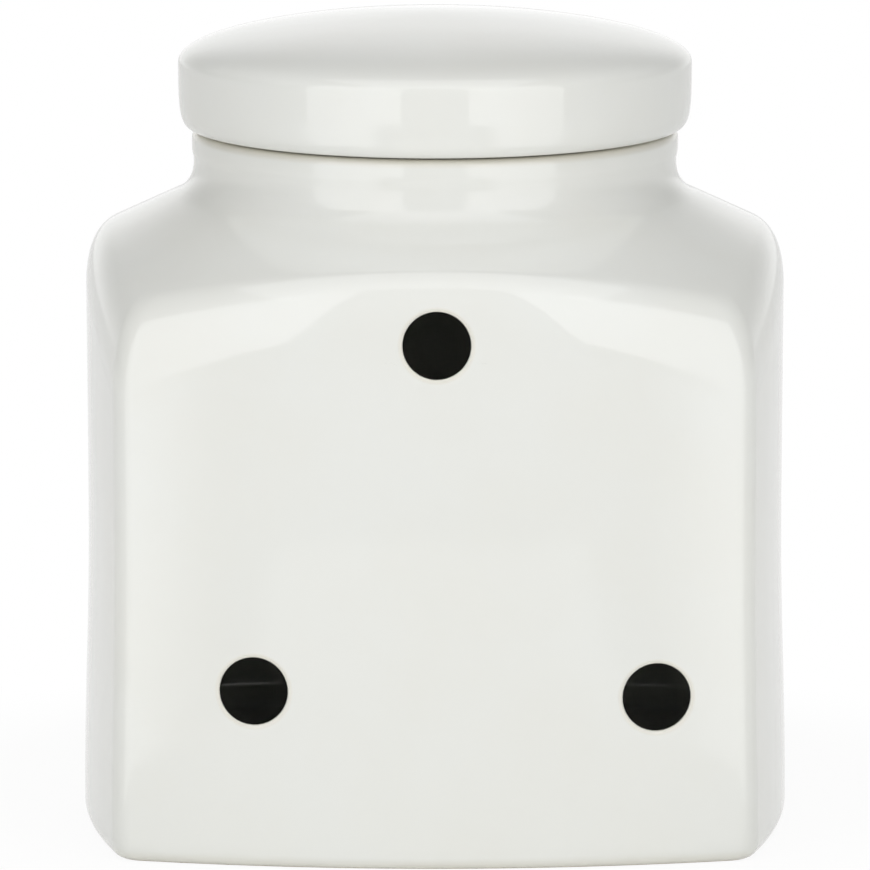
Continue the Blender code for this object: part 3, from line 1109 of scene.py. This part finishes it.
def fade_sides(lamp, share):
    """Let a softbox grow dim over a share of its width at each side, as its diffuser does."""
    lamp.use_nodes = True
    tree = lamp.node_tree
    tree.nodes.clear()
    place = add_node(tree, "ShaderNodeNewGeometry").outputs["Parametric"]
    place = add_node(tree, "ShaderNodeSeparateXYZ", {"Vector": place})
    middle = 0.5
    off = add_node(tree, "ShaderNodeMath", {
        0: place.outputs["X"], 1: middle,
    }, operation="SUBTRACT")
    aside = add_node(tree, "ShaderNodeMath", {0: off.outputs[0]}, operation="ABSOLUTE")
    level = add_node(tree, "ShaderNodeMapRange", {
        "Value": aside.outputs[0], "From Min": middle - share, "From Max": middle,
        "To Min": 1.0, "To Max": 0.0,
    }, interpolation_type="SMOOTHSTEP")
    glow = add_node(tree, "ShaderNodeEmission", {"Strength": level.outputs["Result"]})
    add_node(tree, "ShaderNodeOutputLight", {"Surface": glow.outputs["Emission"]})


def around(angle, distance, height):
    """A point at an angle right of the camera's side of the keeper."""
    return (distance * math.sin(angle), -distance * math.cos(angle), height)


def add_sheet(name, corners, material):
    """A flat sheet with the corners given."""
    mesh = bpy.data.meshes.new(name)
    made = bmesh.new()
    made.faces.new([made.verts.new(corner) for corner in corners])
    made.to_mesh(mesh)
    made.free()
    mesh.materials.append(material)
    sheet = bpy.data.objects.new(name, mesh)
    bpy.context.scene.collection.objects.link(sheet)
    return sheet


def set_table(stage, colours):
    """Lay the table under the keeper."""
    reach = TABLE_REACH
    edge, tongue, front = -TABLE_EDGE, TONGUE_HALF_WIDTH, -TABLE_FRONT
    outline = (
        (-reach, edge), (-tongue, edge), (-tongue, front), (tongue, front), (tongue, edge),
        (reach, edge), (reach, reach), (-reach, reach),
    )
    table = pale_table("table_laminate", colours, stage.background)
    add_sheet("table", [(x, y, 0) for x, y in outline], table)


def set_lights(stage):
    """Stand the front lights on both sides of the camera and hang the overhead one."""
    for name, angle, span, fade, brightness in (
        ("softbox", FRONT_LIGHT_ANGLE, FRONT_LIGHT_SPAN, 0, stage.front_light),
        ("low_softbox", LOW_LIGHT_ANGLE, LOW_LIGHT_SPAN, LOW_LIGHT_FADE, stage.low_light),
    ):
        width, bottom, top = span
        level = (bottom + top) / 2
        size = (width, top - bottom)
        for hand, side in (("left_", -1), ("right_", 1)):
            place = around(side * angle, FRONT_LIGHT_DISTANCE, level)
            light = add_softbox(hand + name, place, (0, 0, level), size, brightness)
            if fade:
                fade_sides(light.data, fade)
    add_softbox("top_softbox", TOP_LIGHT_PLACE, TOP_LIGHT_AIM, TOP_LIGHT_SIZE, stage.top_light)


def mirrored_room(tree, way, stage):
    """The brightness in the glaze's mirror: white walls, a dim ceiling and the studio in front."""
    aside = add_node(tree, "ShaderNodeMath", {0: way.outputs["X"]}, operation="ABSOLUTE")
    off_wall = add_node(tree, "ShaderNodeMath", {
        0: aside.outputs[0], 1: WALLS_SIDE_SHARE, 2: way.outputs["Z"],
    }, operation="MULTIPLY_ADD")
    walls = add_node(tree, "ShaderNodeMapRange", {
        "Value": off_wall.outputs[0], "From Min": WALLS_FADE_FROM, "From Max": WALLS_FADE_TO,
        "To Min": stage.mirrored_wall, "To Max": stage.mirrored_ceiling,
    }, interpolation_type="SMOOTHSTEP")
    in_front = add_node(tree, "ShaderNodeMapRange", {
        "Value": way.outputs["Y"], "From Min": STUDIO_FADE_FROM, "From Max": STUDIO_FADE_TO,
    }, interpolation_type="SMOOTHSTEP")
    return mix_values(
        tree, in_front.outputs["Result"], walls.outputs["Result"], stage.mirrored_studio,
    )


def plain_room(tree, way, stage):
    """The room's own light, brighter low down behind, and the plain white the camera sees."""
    behind = add_node(tree, "ShaderNodeMath", {
        0: way.outputs["Y"], 1: way.outputs["Z"],
    }, operation="SUBTRACT")
    light = add_node(tree, "ShaderNodeMapRange", {
        "Value": behind.outputs[0], "From Min": BACK_FADE_FROM, "From Max": BACK_FADE_TO,
        "To Min": stage.room_light, "To Max": stage.back_light,
    }, interpolation_type="SMOOTHSTEP")
    return mix_values(
        tree, seen_as_background(tree), light.outputs["Result"], stage.background,
    )


def set_room(stage):
    """Surround the table with the room's light."""
    world = bpy.data.worlds.new("room")
    bpy.context.scene.world = world
    world.use_nodes = True
    tree = world.node_tree
    tree.nodes.clear()
    way = add_node(tree, "ShaderNodeTexCoord").outputs["Generated"]
    way = add_node(tree, "ShaderNodeSeparateXYZ", {"Vector": way})
    mirrored = mirrored_room(tree, way, stage)
    plain = plain_room(tree, way, stage)
    path = add_node(tree, "ShaderNodeLightPath")
    strength = mix_values(tree, path.outputs["Is Glossy Ray"], plain, mirrored)
    room = add_node(tree, "ShaderNodeBackground", {
        "Color": (1.0, 1.0, 1.0, 1.0), "Strength": strength,
    })
    add_node(tree, "ShaderNodeOutputWorld", {"Surface": room.outputs["Background"]})


def set_camera(stage):
    """Stand the camera at the photo's place and angle."""
    lens = bpy.data.cameras.new("camera")
    lens.lens = lens.sensor_width * stage.focal_pixels / PICTURE_SIDE
    lens.clip_end = CAMERA_REACH
    camera = bpy.data.objects.new("camera", lens)
    camera.location = (0, -stage.camera_distance, stage.camera_height)
    camera.rotation_euler = (math.pi / 2 - stage.camera_pitch, 0, 0)
    bpy.context.scene.collection.objects.link(camera)
    bpy.context.scene.camera = camera


class KEEPER_OT_stage(bpy.types.Operator):
    """Set the table, the lights and the camera"""

    bl_idname = "keeper.stage"
    bl_label = "Stage"

    def execute(self, context):
        stage = context.scene.keeper_stage
        set_table(stage, context.scene.keeper_colours)
        set_lights(stage)
        set_room(stage)
        set_camera(stage)
        context.scene.view_settings.view_transform = "Standard"
        return {"FINISHED"}


class KEEPER_PT_panel(bpy.types.Panel):
    """Buttons that build the keeper, piece by piece, and the sizes they use"""

    bl_idname = "KEEPER_PT_panel"
    bl_label = "Garlic Keeper"
    bl_space_type = "VIEW_3D"
    bl_region_type = "UI"
    bl_category = "Keeper"

    def draw(self, context):
        layout = self.layout
        for operator in OPERATORS:
            layout.operator(operator.bl_idname)
        for name in GROUPS:
            group = getattr(context.scene, name)
            box = layout.box()
            for key in group.bl_rna.properties.keys():
                if key not in ("rna_type", "name"):
                    box.prop(group, key)


OPERATORS = (KEEPER_OT_jar, KEEPER_OT_lid, KEEPER_OT_seal, KEEPER_OT_stage)
GROUPS = {
    "keeper_jar": JarSizes,
    "keeper_vents": VentSizes,
    "keeper_lid": LidSizes,
    "keeper_seal": SealSizes,
    "keeper_colours": Colours,
    "keeper_stage": StageSettings,
}


def register():
    """Add the settings, the buttons' operators and the panel to Blender."""
    for group in GROUPS.values():
        bpy.utils.register_class(group)
    for name, group in GROUPS.items():
        setattr(bpy.types.Scene, name, PointerProperty(type=group))
    for operator in OPERATORS:
        bpy.utils.register_class(operator)
    bpy.utils.register_class(KEEPER_PT_panel)


def unregister():
    """Take the panel, the operators and the settings out of Blender again."""
    bpy.utils.unregister_class(KEEPER_PT_panel)
    for operator in reversed(OPERATORS):
        bpy.utils.unregister_class(operator)
    for name, group in GROUPS.items():
        delattr(bpy.types.Scene, name)
        bpy.utils.unregister_class(group)


def main():
    """Build every piece and the stage."""
    register()
    bpy.ops.keeper.jar()
    bpy.ops.keeper.lid()
    bpy.ops.keeper.seal()
    bpy.ops.keeper.stage()


if __name__ == "__main__":
    main()
